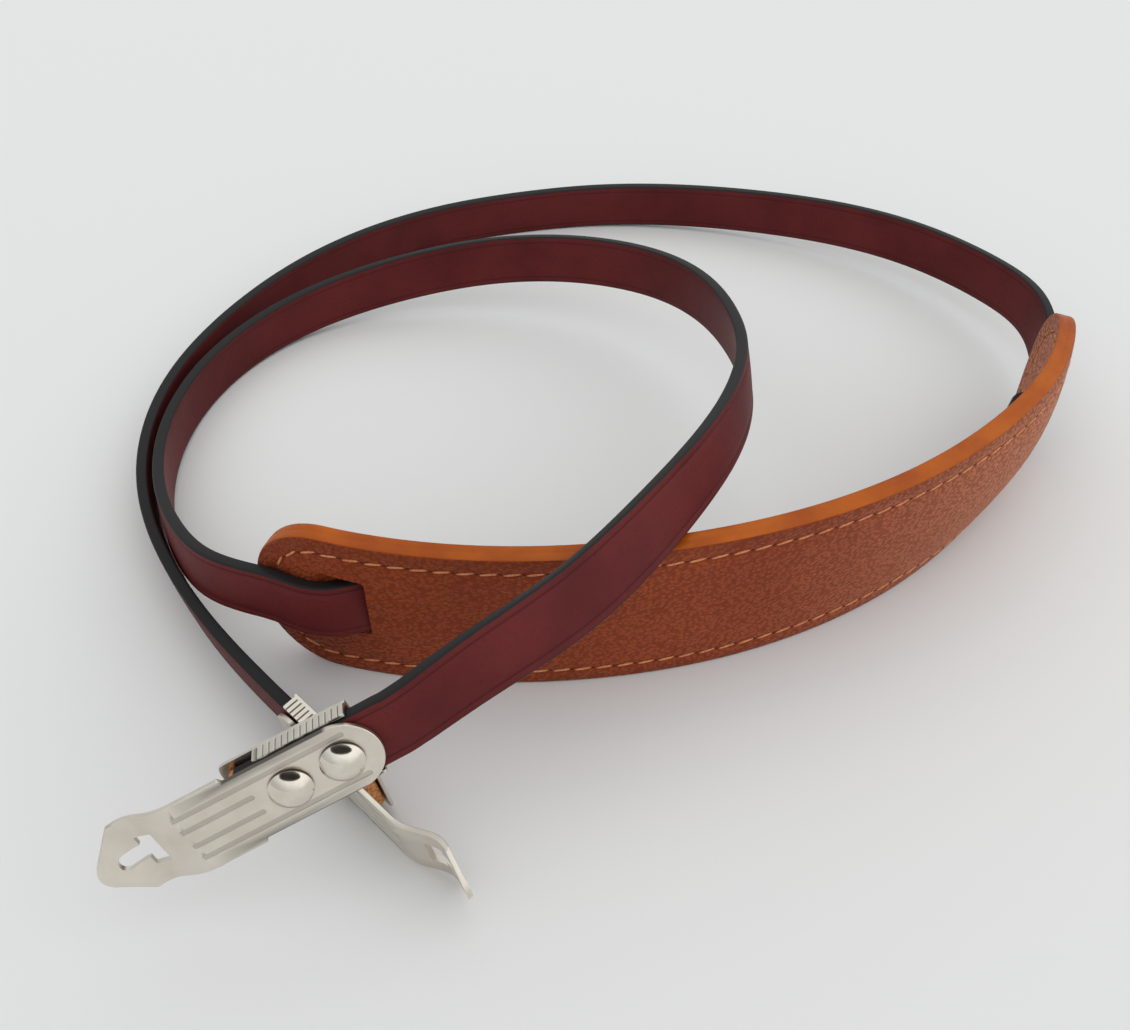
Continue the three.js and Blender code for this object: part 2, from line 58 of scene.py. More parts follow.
# Columns: x, y, how far the top leans outwards in degrees, how far the middle bulges outwards.
pad_rows = [
    [-0.0586, -0.0367, 1.0, 0.0],
    [-0.0440, -0.0427, 2.0, 0.0],
    [-0.0220, -0.0468, 3.0, 0.0],
    [0.0020, -0.0468, 3.5, 0.0],
    [0.0270, -0.0427, 4.0, 0.0],
    [0.0500, -0.0347, 5.5, 0.0],
    [0.0700, -0.0233, 7.0, 0.0006],
    [0.0860, -0.0095, 8.5, 0.0020],
    [0.0985, 0.0055, 10.0, 0.0034],
    [0.1058, 0.0200, 9.5, 0.0022],
    [0.1100, 0.0344, 3.0, 0.0004],
]
# Columns: distance in from the edge, height of the face above the pad's middle.
pad_edge_rows = [
    [0.00002, 0.00025],
    [0.0, 0.0010],
    [0.00004, 0.0015],
    [0.00014, 0.00176],
    [0.00032, 0.00190],
    [0.0006, 0.00196],
    [0.0013, 0.00199],
    [0.0024, 0.00199],
    [0.0033, 0.00192],
    [0.0037, 0.00182],
    [0.0040, 0.00179],
    [0.0043, 0.00182],
    [0.0047, 0.00192],
    [0.0056, 0.00200],
    [0.0070, 0.00203],
]
pad_seam_depth = 0.0001
stitch_inset = 0.0040
pad_crown = 0.0021
pad_crown_steps = [0.3, 0.6, 0.85]
pad_spine_end = 0.018


def spline(rows, step):
    """Points along a uniform cubic spline that starts on the first row and ends on the last one."""
    rows = np.asarray(rows, float)
    knots = np.vstack([2 * rows[0] - rows[1], rows, 2 * rows[-1] - rows[-2]])
    points = []
    for span in range(len(rows) - 1):
        length = math.hypot(*(rows[span + 1, :2] - rows[span, :2]))
        steps = max(1, round(length / step))
        for t in np.arange(steps + (span == len(rows) - 2)) / steps:
            weights = [(1 - t) ** 3, 3 * t**3 - 6 * t**2 + 4, -3 * t**3 + 3 * t**2 + 3 * t + 1, t**3]
            points.append(np.dot(weights, knots[span : span + 4]) / 6)
    return np.array(points)


def unit(vectors):
    return vectors / np.linalg.norm(vectors, axis=-1, keepdims=True)


def strip_axes(along, lean):
    """Directions up the width of a flat strip and out of its outer face. The lean is in degrees."""
    side = unit(np.cross(along, UP))
    rise = np.cross(side, along)
    turn = np.radians(lean)[..., None]
    wide = rise * np.cos(turn) + side * np.sin(turn)
    face = side * np.cos(turn) - rise * np.sin(turn)
    return wide, face


def lengths_along(points):
    return np.concatenate([[0.0], np.cumsum(np.linalg.norm(np.diff(points, axis=0), axis=1))])


def between(places, known, values):
    """Values at places along a line, worked out from those at known places."""
    return np.stack([np.interp(places, known, column) for column in np.asarray(values).T], axis=-1)


pad_line = spline(pad_rows, pad_step)
pad_lean = np.radians(pad_line[:, 2])
pad_height = (pad_width * np.cos(pad_lean) + pad_thick * np.sin(pad_lean)) / 2
pad_points = np.column_stack([pad_line[:, :2], pad_height])
pad_along = unit(np.gradient(pad_points, axis=0))
pad_places = lengths_along(pad_points)
pad_length = pad_places[-1]


def pad_bulge(cup, up):
    return cup * (1 - (2 * up / pad_width) ** 2)


def pad_at(place):
    """Middle point, direction, lean and bulge of the pad at a distance from its left tip."""
    point = between(place, pad_places, pad_points)
    along = unit(between(place, pad_places, pad_along))
    lean, cup = between(place, pad_places, pad_line[:, 2:]).T
    return point, along, lean, cup


def pad_surface(flat):
    """Points of the bent pad from distances along it, up it and out of it."""
    place, up, out = np.asarray(flat, float).T
    point, along, lean, cup = pad_at(place)
    wide, face = strip_axes(along, lean)
    return point + wide * up[:, None] + face * (out + pad_bulge(cup, up))[:, None]


def pad_outline():
    """The flat pad's outline, clockwise from its left tip, and how many of its points are along the top."""
    angle = np.radians(np.linspace(0, 90, pad_corner_steps))
    corner_along = pad_end_length * (1 - np.cos(angle))
    corner_up = pad_width / 2 - pad_end_rise * (1 - np.sin(angle))
    count = round((pad_length - 2 * pad_end_length) / pad_step)
    straight = np.linspace(pad_end_length, pad_length - pad_end_length, count)[1:-1]
    along = np.concatenate([corner_along, straight, pad_length - corner_along[::-1]])
    up = np.concatenate([corner_up, np.full(len(straight), pad_width / 2), corner_up[::-1]])
    top = np.column_stack([along, up])
    tip_up = np.linspace(corner_up[0], -corner_up[0], pad_tip_steps + 1)[1:-1]
    right_tip = np.column_stack([np.full(len(tip_up), pad_length), tip_up])
    left_tip = np.column_stack([np.zeros(len(tip_up)), -tip_up])
    bottom = (top * [1, -1])[::-1]
    return np.vstack([top, right_tip, bottom, left_tip]), len(top)


outline, top_count = pad_outline()
outline_count = len(outline)
outline_run = unit(np.roll(outline, -1, axis=0) - np.roll(outline, 1, axis=0))
outline_inward = np.column_stack([outline_run[:, 1], -outline_run[:, 0]])


def inset(distance):
    return outline + outline_inward * distance


def pad_ring(flat, out):
    return np.column_stack([flat, np.full(outline_count, out)])


# Columns of each ring: its flat points, the height of the face there and the distance from the edge.
pad_spine = np.column_stack(
    [np.clip(outline[:, 0], pad_spine_end, pad_length - pad_spine_end), np.zeros(outline_count)]
)
face_rings = [(inset(distance), height, distance) for distance, height in pad_edge_rows]
innermost, innermost_height, innermost_distance = face_rings[-1]
for share in pad_crown_steps:
    height = innermost_height + (pad_crown - innermost_height) * share
    face_rings.append((innermost * (1 - share) + pad_spine * share, height, innermost_distance))
pad_flat = [pad_ring(inset(pad_seam_depth), 0.0)]
pad_edge_distance = [np.zeros(outline_count)]
pad_faces = []
ring_index = np.arange(outline_count)
for side in (1, -1):
    previous = ring_index
    for flat, height, distance in face_rings:
        current = ring_index + outline_count * len(pad_flat)
        pad_flat.append(pad_ring(flat, side * height))
        pad_edge_distance.append(np.full(outline_count, distance))
        band = np.column_stack([previous, np.roll(previous, -1), np.roll(current, -1), current])
        pad_faces.extend(band[:, ::-side].tolist())
        previous = current
    bottom_end = 2 * top_count + pad_tip_steps - 2
    for i in range(top_count - 1):
        cell = previous[[i, i + 1, bottom_end - i - 1, bottom_end - i]]
        pad_faces.append(cell[::-side].tolist())
    right_cap = previous[top_count - 1 : top_count + pad_tip_steps]
    left_cap = np.append(previous[bottom_end:], previous[0])
    pad_faces.extend([right_cap[::-side].tolist(), left_cap[::-side].tolist()])


def new_piece(name, points, faces, **attributes):
    """A mesh object from points in metres, with a number for each point in each named attribute."""
    mesh = bpy.data.meshes.new(name)
    mesh.from_pydata(np.asarray(points, float).tolist(), [], faces)
    for key, values in attributes.items():
        column = mesh.attributes.new(key, "FLOAT", "POINT")
        column.data.foreach_set("value", np.asarray(values, np.float32))
    piece = bpy.data.objects.new(name, mesh)
    bpy.context.scene.collection.objects.link(piece)
    return piece


def mesh_points(mesh):
    return np.array([vertex.co for vertex in mesh.vertices])


def set_values(mesh, name, chosen, values):
    """Changes a named attribute at the chosen points."""
    column = mesh.attributes[name].data
    known = np.array([item.value for item in column])
    column.foreach_set("value", np.where(chosen, values, known).astype(np.float32))


def work_on(piece):
    """Makes a piece the only selected object and the one that operators act on."""
    bpy.ops.object.select_all(action="DESELECT")
    piece.select_set(True)
    bpy.context.view_layer.objects.active = piece


def face_outwards(piece):
    work_on(piece)
    bpy.ops.object.mode_set(mode="EDIT")
    bpy.ops.mesh.select_all(action="SELECT")
    bpy.ops.mesh.normals_make_consistent(inside=False)
    bpy.ops.object.mode_set(mode="OBJECT")


cut_weld = 0.000001


def cut_away(piece, cutter):
    """Takes the cutter's shape out of a piece, closes the cut, and takes the cutter out of the scene."""
    work_on(piece)
    modifier = piece.modifiers.new("Cut", "BOOLEAN")
    modifier.object = cutter
    modifier.operation = "DIFFERENCE"
    modifier.solver = "EXACT"
    bpy.ops.object.modifier_apply(modifier=modifier.name)
    bpy.ops.object.mode_set(mode="EDIT")
    bpy.ops.mesh.select_all(action="SELECT")
    bpy.ops.mesh.remove_doubles(threshold=cut_weld)
    bpy.ops.object.mode_set(mode="OBJECT")
    bpy.data.objects.remove(cutter)


# Each slot's place is a distance from the left tip. The strap slants through it, from the outer face to the
# inner one, within the dive length on each side, and the slot has room above the strap.
slot_height = 0.0134
slot_corner = 0.0012
left_slot = {
    "place": 0.0212,
    "length": 0.0116,
    "slant": 2.0,
    "dive": 0.010,
    "inward": 1,
    "above": 0.002,
}
right_slot = {
    "place": pad_length - 0.0125,
    "length": 0.0078,
    "slant": 0.75,
    "dive": 0.0042,
    "inward": -1,
    "above": 0.0,
}
tip_rise = 0.0026
slot_rise = 0.0004
far_rise = -0.0082


def strap_rise(place):
    """How far the strap's middle line is above the pad's at a distance from the left tip."""
    return np.interp(place, [0.0, left_slot["place"], pad_length], [tip_rise, slot_rise, far_rise])


def slot_cutter(slot):
    """A slanted block with round corners that stands across the pad at one of its slots."""
    bpy.ops.object.select_all(action="DESELECT")
    bpy.ops.mesh.primitive_cube_add(size=2)
    cutter = bpy.context.active_object
    bpy.ops.object.mode_set(mode="EDIT")
    bpy.ops.mesh.select_all(action="SELECT")
    bpy.ops.transform.resize(value=(slot["length"] / 2, pad_thick, (slot_height + slot["above"]) / 2))
    bpy.ops.transform.translate(value=(0, 0, slot["above"] / 2))
    bpy.ops.mesh.select_mode(type="EDGE")
    bpy.ops.mesh.select_all(action="DESELECT")
    bpy.ops.object.mode_set(mode="OBJECT")
    for edge in cutter.data.edges:
        a, b = (cutter.data.vertices[i].co for i in edge.vertices)
        edge.select = abs(a.y - b.y) > pad_thick
    bpy.ops.object.mode_set(mode="EDIT")
    bpy.ops.mesh.bevel(offset=slot_corner, segments=4)
    bpy.ops.object.mode_set(mode="OBJECT")
    place = slot["place"]
    rise = strap_rise(place)
    near = 0.001
    climb = (strap_rise(place + near) - strap_rise(place - near)) / (2 * near)
    point, along, lean, cup = pad_at(np.array([place]))
    wide, face = strip_axes(along, lean)
    middle = point[0] + wide[0] * rise + face[0] * pad_bulge(cup[0], rise)
    for vertex in cutter.data.vertices:
        run = vertex.co.x - vertex.co.y * slot["slant"] * slot["inward"]
        up = vertex.co.z + run * climb
        vertex.co = Vector(middle + along[0] * run + face[0] * vertex.co.y + wide[0] * up)
    face_outwards(cutter)
    return cutter


pad = new_piece(
    "shoulder_pad",
    pad_surface(np.vstack(pad_flat)),
    pad_faces,
    edge_distance=np.concatenate(pad_edge_distance),
)
face_outwards(pad)
for slot in (left_slot, right_slot):
    cutter = slot_cutter(slot)
    reach = mesh_points(cutter.data)
    cut_away(pad, cutter)
    points = mesh_points(pad.data)
    in_slot = ((points >= reach.min(axis=0)) & (points <= reach.max(axis=0))).all(axis=1)
    set_values(pad.data, "edge_distance", in_slot, innermost_distance)

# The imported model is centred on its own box, so every piece moves by the same amount as the pad.
pad_reach = np.array([pad_surface(pad_ring(outline, out)) for out in (-pad_thick / 2, pad_thick / 2)])
pad_low, pad_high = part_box("pad")
pad_offset = np.add(pad_low, pad_high) - pad_reach.min(axis=(0, 1)) - pad_reach.max(axis=(0, 1))
shift = Vector(pad_offset / 2)
pad.data.transform(Matrix.Translation(shift))


class Shade:
    """A shader socket in a material, which takes part in Python sums."""

    def __init__(self, tree, socket=None):
        self.tree = tree
        self.socket = socket

    def node(self, kind, settings=None, output=0, **inputs):
        """Any node, with its settings and the values or links of its sockets. Returns one output."""
        made = self.tree.nodes.new(kind)
        for key, value in (settings or {}).items():
            setattr(made, key, value)
        for key, value in inputs.items():
            number = key[1:].isdigit()
            socket = made.inputs[int(key[1:]) if number else key.replace("_", " ")]
            if isinstance(value, Shade):
                self.tree.links.new(value.socket, socket)
            else:
                socket.default_value = value
        return Shade(self.tree, made.outputs[output] if made.outputs else None)

    def maths(self, operation, *values):
        inputs = {f"i{number}": value for number, value in enumerate(values)}
        return self.node("ShaderNodeMath", {"operation": operation}, **inputs)

    def __add__(self, other):
        return self.maths("ADD", self, other)

    def __radd__(self, other):
        return self.maths("ADD", other, self)

    def __sub__(self, other):
        return self.maths("SUBTRACT", self, other)

    def __rsub__(self, other):
        return self.maths("SUBTRACT", other, self)

    def __mul__(self, other):
        return self.maths("MULTIPLY", self, other)

    def __rmul__(self, other):
        return self.maths("MULTIPLY", other, self)

    def __abs__(self):
        return self.maths("ABSOLUTE", self)

    def rise(self, low, high, to_low=0.0, to_high=1.0):
        """A smooth step from to_low where this value is low to to_high where it is high."""
        settings = {"interpolation_type": "SMOOTHSTEP"}
        return self.node("ShaderNodeMapRange", settings, i0=self, i1=low, i2=high, i3=to_low, i4=to_high)

    def mix(self, colour_a, colour_b):
        """colour_a where this value is 0 and colour_b where it is 1."""
        return self.node("ShaderNodeMix", {"data_type": "RGBA"}, 2, i0=self, i6=colour_a, i7=colour_b)


def new_material(name):
    material = bpy.data.materials.new(name)
    material.use_nodes = True
    material.node_tree.nodes.clear()
    return material, Shade(material.node_tree)


def finish_material(shade, **inputs):
    surface = shade.node("ShaderNodeBsdfPrincipled", **inputs)
    shade.node("ShaderNodeOutputMaterial", Surface=surface)


def pebbled_leather():
    """Tan leather with millimetre pebbles and dark creases, a painted sheen paler to the right, and an
    orange edge.
    """
    material, shade = new_material("pebbled_tan_leather")
    place = shade.node("ShaderNodeTexCoord", output=3)
    from_edge = shade.node("ShaderNodeAttribute", {"attribute_name": "edge_distance"}, output=2)
    waver = shade.node("ShaderNodeTexNoise", Vector=place, Scale=320.0, Detail=2.0)
    painted = (from_edge + (waver - 0.5) * 0.00012).rise(0.00024, 0.00012)
    warp = shade.node("ShaderNodeTexNoise", output=1, Vector=place, Scale=300.0, Detail=2.0)
    spread = shade.node("ShaderNodeVectorMath", {"operation": "SCALE"}, Vector=warp, Scale=0.0007)
    bent = shade.node("ShaderNodeVectorMath", {"operation": "ADD"}, i0=place, i1=spread)
    flattened = shade.node("ShaderNodeVectorMath", {"operation": "MULTIPLY"}, i0=bent, i1=(1.0, 1.0, 1.45))
    settings = {"feature": "SMOOTH_F1"}
    cells = shade.node("ShaderNodeTexVoronoi", settings, Vector=flattened, Scale=980.0, Smoothness=0.2)
    pebble = cells.rise(0.72, 0.22)
    pores = shade.node("ShaderNodeTexNoise", Vector=place, Scale=2600.0, Detail=2.0)
    clouds = shade.node("ShaderNodeTexNoise", Vector=place, Scale=55.0, Detail=3.0).rise(0.3, 0.7)
    sewn = 1 - abs(from_edge - stitch_inset).rise(0.0002, 0.0009)
    rim = from_edge.rise(0.0036, 0.0010)
    tan = clouds.mix((0.280, 0.042, 0.0055, 1.0), (0.330, 0.054, 0.0080, 1.0))
    # Paler towards the right end: painted sheen and light from the right, not the leather's own colour.
    right_sheen = shade.node("ShaderNodeSeparateXYZ", Vector=place).rise(0.02, 0.11)
    sheen_paled = (right_sheen * 0.8).mix(tan, (0.60, 0.205, 0.085, 1.0))
    creased = ((1 - pebble) * 0.52).mix(sheen_paled, (0.11, 0.014, 0.0025, 1.0))
    rimmed = (rim * 0.3).mix(creased, (0.15, 0.028, 0.006, 1.0))
    # Darker along the stitch line.
    darker_at_seam = (sewn * 0.4).mix(rimmed, (0.14, 0.022, 0.006, 1.0))
    streak = shade.node("ShaderNodeTexNoise", Vector=place, Scale=90.0, Detail=3.0).rise(0.3, 0.7)
    paint = streak.mix((0.31, 0.056, 0.0008, 1.0), (0.42, 0.092, 0.002, 1.0))
    colour = painted.mix(darker_at_seam, paint)
    grain = (pebble * 0.8 + pores * 0.25) * (1 - painted * 0.9)
    bump = shade.node("ShaderNodeBump", Strength=0.8, Distance=0.00034, Height=grain)
    rough = 0.50 + 0.14 * (1 - pebble) - painted * 0.1
    sheen = {"Sheen_Weight": 0.08, "Sheen_Roughness": 0.3, "Specular_IOR_Level": 0.2}
    finish_material(shade, Base_Color=colour, Roughness=rough, Normal=bump, **sheen)
    return material


pad.data.materials.append(pebbled_leather())
work_on(pad)
bpy.ops.object.shade_smooth_by_angle(angle=math.radians(40))
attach(pad, "root")
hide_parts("pad")

# Pad stitches
# One line of thick waxed thread around each face of the pad, a few millimetres in from the edge.
# Every stitch is a short slanted bar that sinks into an awl hole at both ends; each hole is a flat dark
# disc of painted shade.

stitch_pitch = 0.0042
stitch_size = [0.0033, 0.00056, 0.00044]
stitch_level = 0.00186
stitch_slant = math.radians(8)
pressed_depth = 0.00026
hole_size = [0.00065, 0.0006, 0.0001]
hole_level = 0.00180
stitch_line = inset(stitch_inset)
closed_line = np.vstack([stitch_line, stitch_line[:1]])
line_places = lengths_along(closed_line)
stitch_count = round(line_places[-1] / stitch_pitch)


def blunt_bar(size):
    """A bar along X with blunt ends: its points and faces."""
    bpy.ops.object.select_all(action="DESELECT")
    bpy.ops.mesh.primitive_uv_sphere_add(segments=10, ring_count=8, radius=0.5)
    bar = bpy.context.active_object
    bpy.ops.object.mode_set(mode="EDIT")
    bpy.ops.mesh.select_all(action="SELECT")
    bpy.ops.transform.rotate(value=math.pi / 2, orient_axis="Y", center_override=(0, 0, 0))
    bpy.ops.object.mode_set(mode="OBJECT")
    points = mesh_points(bar.data)
    faces = [list(polygon.vertices) for polygon in bar.data.polygons]
    bpy.data.objects.remove(bar)
    blunt = np.sign(points[:, 0]) * 0.5 * np.abs(2 * points[:, 0]) ** 0.75
    return np.column_stack([blunt, points[:, 1:]]) * size, faces


def sewn_piece(name, size, first_place, level, slant):
    """Copies of a bar at every stitch on both faces of the pad, pressed in where the strap covers them."""
    bar_points, bar_faces = blunt_bar(size)
    points = []
    faces = []
    for side in (1, -1):
        for centre in first_place + np.arange(stitch_count) * line_places[-1] / stitch_count:
            places = (centre + np.array([-size[0] / 2, 0, size[0] / 2, 0])) % line_places[-1]
            levels = side * (level + np.array([0, 0, 0, 0.001]))
            seam = between(places, line_places, closed_line)
            along, up = seam[1]
            past_slots = along < left_slot["place"] or along > right_slot["place"]
            if side > 0 and past_slots and abs(up - strap_rise(along)) < slot_height / 2:
                levels = levels - pressed_depth
            flat = np.column_stack([seam, levels])
            start, middle, end, above = pad_surface(flat)
            run = unit(end - start)
            normal = unit(above - middle)
            slanted = run * math.cos(slant) + np.cross(normal, run) * math.sin(slant)
            axes = np.array([slanted, np.cross(normal, slanted), normal])
            first = len(points) * len(bar_points)
            points.append(middle + bar_points @ axes)
            faces.extend([[first + corner for corner in polygon] for polygon in bar_faces])
    piece = new_piece(name, np.vstack(points) + np.array(shift), faces)
    face_outwards(piece)
    bpy.ops.object.shade_smooth()
    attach(piece, "root")
    return piece


stitches = sewn_piece("pad_stitches", stitch_size, 0.0, stitch_level, stitch_slant)
# The awl holes are flat dark discs on the surface: painted shade, not real holes.
awl_hole_shade = sewn_piece("pad_awl_hole_shade", hole_size, stitch_pitch / 2, hole_level, 0.0)


def waxed_thread():
    """Pale tan thread with twisted strands."""
    material, shade = new_material("waxed_thread")
    place = shade.node("ShaderNodeTexCoord", output=3)
    strands = shade.node("ShaderNodeTexNoise", Vector=place, Scale=2200.0, Detail=2.0)
    colour = strands.rise(0.3, 0.7).mix((0.47, 0.155, 0.058, 1.0), (0.68, 0.27, 0.115, 1.0))
    bump = shade.node("ShaderNodeBump", Strength=0.5, Distance=0.0001, Height=strands)
    finish_material(shade, Base_Color=colour, Roughness=0.5, Normal=bump, Specular_IOR_Level=0.3)
    return material


def shaded_hole():
    """Near-black brown on a flat disc, painted shade for the inside of an awl hole."""
    material, shade = new_material("shaded_hole")
    place = shade.node("ShaderNodeTexCoord", output=3)
    spots = shade.node("ShaderNodeTexNoise", Vector=place, Scale=1500.0)
    colour = spots.mix((0.09, 0.013, 0.003, 1.0), (0.13, 0.021, 0.005, 1.0))
    finish_material(shade, Base_Color=colour, Roughness=0.8, Specular_IOR_Level=0.1)
    return material


stitches.data.materials.append(waxed_thread())
awl_hole_shade.data.materials.append(shaded_hole())

# Strap
# One long strip of firm burgundy leather, 12 mm wide, with black painted edges and a pressed line along
# each edge of its outer face. It runs from one clip over the pad, round the inner loop, through both
# slots of the pad and round the outer loop to the other clip. Its cut ends are bare.

strap_width = 0.012
strap_thick = 0.0025
strap_corner = 0.0005
strap_crown = 0.0001
pressed_line_inset = 0.0015
pressed_line_half = 0.00025
pressed_line_depth = 0.00012
strap_step = 0.0014
strap_end = 0.0252
end_round = 0.0022
bare_end = 0.0020
end_stations = [0.0, 0.0003, 0.0008, 0.0014]
piece_gap = 0.00035
dive_rows = 11
dive_reach = 1.6
tip_row = 0.004
rows_between = 9
tip_twist = -5.0
slot_twist = -13.0
twist_fade = 0.030
# Columns: x, y, z of the strap's middle line and how far its top leans outwards in degrees.
inner_rows = [
    [-0.0135, -0.0769, 0.0436, -29.0],
    [0.0018, -0.0650, 0.0440, -39.5],
    [0.0148, -0.0485, 0.0448, -35.5],
    [0.0258, -0.0306, 0.0430, -26.0],
    [0.0340, -0.0120, 0.0390, -20.0],
    [0.0387, 0.0080, 0.0350, -10.0],
    [0.0378, 0.0260, 0.0310, -4.0],
    [0.0335, 0.0450, 0.0270, 2.0],
    [0.0230, 0.0630, 0.0220, 9.0],
    [0.0040, 0.0750, 0.0180, 14.0],
    [-0.0170, 0.0790, 0.0150, 14.0],
    [-0.0370, 0.0780, 0.0115, 10.0],
    [-0.0570, 0.0730, 0.0080, 5.0],
    [-0.0750, 0.0610, 0.0063, 0.0],
    [-0.0878, 0.0410, 0.0060, 0.0],
    [-0.0918, 0.0170, 0.0070, 0.0],
    [-0.0875, -0.0060, 0.0100, 0.0],
    [-0.0790, -0.0240, 0.0152, -3.0],
    [-0.0698, -0.0368, 0.0192, -5.0],
]
outer_rows = [
    [0.1170, 0.0505, 0.0158, 8.0],
    [0.1122, 0.0685, 0.0135, 11.0],
    [0.0955, 0.0910, 0.0110, 11.0],
    [0.0760, 0.1040, 0.0095, 9.0],
    [0.0540, 0.1125, 0.0080, 6.0],
    [0.0320, 0.1175, 0.0070, 4.0],
    [0.0100, 0.1190, 0.0063, 2.0],
    [-0.0120, 0.1155, 0.0060, 0.0],
    [-0.0340, 0.1090, 0.0060, 0.0],
    [-0.0550, 0.0970, 0.0060, 0.0],
    [-0.0735, 0.0790, 0.0060, 0.0],
    [-0.0888, 0.0530, 0.0060, 0.0],
    [-0.0959, 0.0280, 0.0060, 0.0],
    [-0.0940, 0.0019, 0.0060, 4.0],
    [-0.0842, -0.0204, 0.0063, 10.0],
    [-0.0699, -0.0413, 0.0069, 9.5],
]
# Where the strap enters each clip, which way the clip points, and how far it drops and leans in degrees.
clips = {
    "clip_a": {
        "start": (-0.0298, -0.0852, 0.0362),
        "heading": 197.5,
        "drop": 22.5,
        "lean": -18.0,
        "travel": -1,
    },
    "clip_b": {
        "start": (-0.0517, -0.0609, 0.0082),
        "heading": -45.5,
        "drop": 0.0,
        "lean": 10.0,
        "travel": 1,
    },
}
clip_lead = [-0.005, -0.0025]


def clip_axes(clip):
    """A clip's directions: towards its tip, across it, and out of the strap's outer face."""
    heading = math.radians(clip["heading"])
    drop = math.radians(clip["drop"])
    level = math.cos(drop)
    out = np.array([math.cos(heading) * level, math.sin(heading) * level, -math.sin(drop)])
    wide, face = strip_axes(out * clip["travel"], np.array(clip["lean"]))
    return np.array([out, wide * clip["travel"], face])


def clip_row(clip, distance):
    return [*(np.array(clip["start"]) + clip_axes(clip)[0] * distance), clip["lean"]]


def smooth(share):
    share = np.clip(share, 0, 1)
    return share**2 * (3 - 2 * share)


def strap_twist(place):
    """How far the strap leans away from the pad at a distance from the pad's left tip, in degrees."""
    leaning = np.interp(place, [0.0, left_slot["place"]], [tip_twist, slot_twist])
    return leaning * (1 - smooth((place - left_slot["place"]) / twist_fade))


def along_pad_rows():
    """Rows of the strap between the pad's tips: outside it near them and inside it between the slots."""
    left_reach = dive_reach * left_slot["dive"]
    right_reach = dive_reach * right_slot["dive"]
    first = left_slot["place"] + left_reach
    last = right_slot["place"] - right_reach
    margin = (last - first) / rows_between
    place = np.concatenate([
        [tip_row],
        np.linspace(first - 2 * left_reach, first, dive_rows),
        np.linspace(first + margin, last - margin, rows_between - 1),
        np.linspace(last, last + 2 * right_reach, dive_rows),
        [pad_length - tip_row],
    ])
    at_left = place < pad_length / 2
    past_slot = np.where(at_left, place - left_slot["place"], right_slot["place"] - place)
    dive = np.where(at_left, left_slot["dive"], right_slot["dive"])
    inside = smooth((past_slot + dive) / (2 * dive))
    point, along, lean, cup = pad_at(place)
    wide, face = strip_axes(along, lean)
    rise = strap_rise(place)
    bulge = pad_bulge(cup, (np.abs(rise) + strap_width / 2) * inside)
    twist = strap_twist(place)
    swing = np.abs(np.sin(np.radians(twist))) * strap_width / 2
    clear = (pad_thick + strap_thick) / 2 + piece_gap + swing
    out = bulge + clear * (1 - 2 * inside)
    middle = point + wide * rise[:, None] + face * out[:, None]
    return np.column_stack([middle, lean + twist]).tolist()


clip_a, clip_b = clips.values()
strap_rows = [
    clip_row(clip_a, strap_end),
    *[clip_row(clip_a, lead) for lead in clip_lead[::-1]],
    *inner_rows,
    *along_pad_rows(),
    *outer_rows,
    *[clip_row(clip_b, lead) for lead in clip_lead],
    clip_row(clip_b, strap_end),
]
strap_line = spline(strap_rows, strap_step)
strap_known = lengths_along(strap_line[:, :3])
strap_length = strap_known[-1]
strap_places = np.concatenate([
    end_stations,
    np.linspace(end_round, strap_length - end_round, len(strap_line)),
    strap_length - np.array(end_stations[::-1]),
])
strap_line = between(strap_places, strap_known, strap_line)
strap_points = strap_line[:, :3]
strap_along = unit(np.gradient(strap_points, strap_places, axis=0))
strap_wide, strap_face = strip_axes(strap_along, strap_line[:, 3])


def strap_section():
    """Points round the strap's cross-section: up its width and out of its outer face."""
    half = strap_width / 2
    back = strap_thick / 2
    angles = np.radians(np.linspace(0, 90, 5))
    corner_up = half - strap_corner * (1 - np.sin(angles))
    corner_out = back - strap_corner * (1 - np.cos(angles))
    corner = np.column_stack([corner_up, corner_out])
    line_place = half - pressed_line_inset
    line_up = [line_place + pressed_line_half, line_place, line_place - pressed_line_half]
    upper_up = np.array([*line_up, 0.6 * line_place, 0.3 * line_place])
    upper_out = back + np.array([0.0, -pressed_line_depth, 0.0, 0.6 * strap_crown, 0.9 * strap_crown])
    upper = np.column_stack([upper_up, upper_out])
    outer_face = np.vstack([upper, [[0.0, back + strap_crown]], (upper * [-1, 1])[::-1]])
    inner_face = np.column_stack([np.linspace(-0.7, 0.7, 5) * half, np.full(5, -back)])
    low_edge = np.vstack([corner * [-1, 1], (corner * [-1, -1])[::-1]])
    return np.vstack([corner[::-1], outer_face, low_edge, inner_face, corner * [1, -1]])


section = strap_section()
section_count = len(section)
station_count = len(strap_points)
from_end = np.minimum(strap_places, strap_length - strap_places)
in_corner = np.clip(1 - from_end / end_round, 0, 1)
narrowing = 1 - 2 * end_round / strap_width * (1 - np.sqrt(1 - in_corner**2))
strap_mesh_points = (
    strap_points[:, None]
    + strap_wide[:, None] * section[None, :, :1] * narrowing[:, None, None]
    + strap_face[:, None] * section[None, :, 1:]
)
index = np.arange(station_count * section_count).reshape(station_count, section_count)
following = np.roll(index, -1, axis=1)
walls = np.stack([index[:-1], following[:-1], following[1:], index[1:]], axis=-1).reshape(-1, 4)
end_caps = [index[0][::-1].tolist(), index[-1].tolist()]
strap = new_piece(
    "neck_strap",
    strap_mesh_points.reshape(-1, 3) + np.array(shift),
    walls.tolist() + end_caps,
    across=np.tile(section[:, 0], station_count),
    from_end=np.repeat(from_end, section_count),
)
face_outwards(strap)


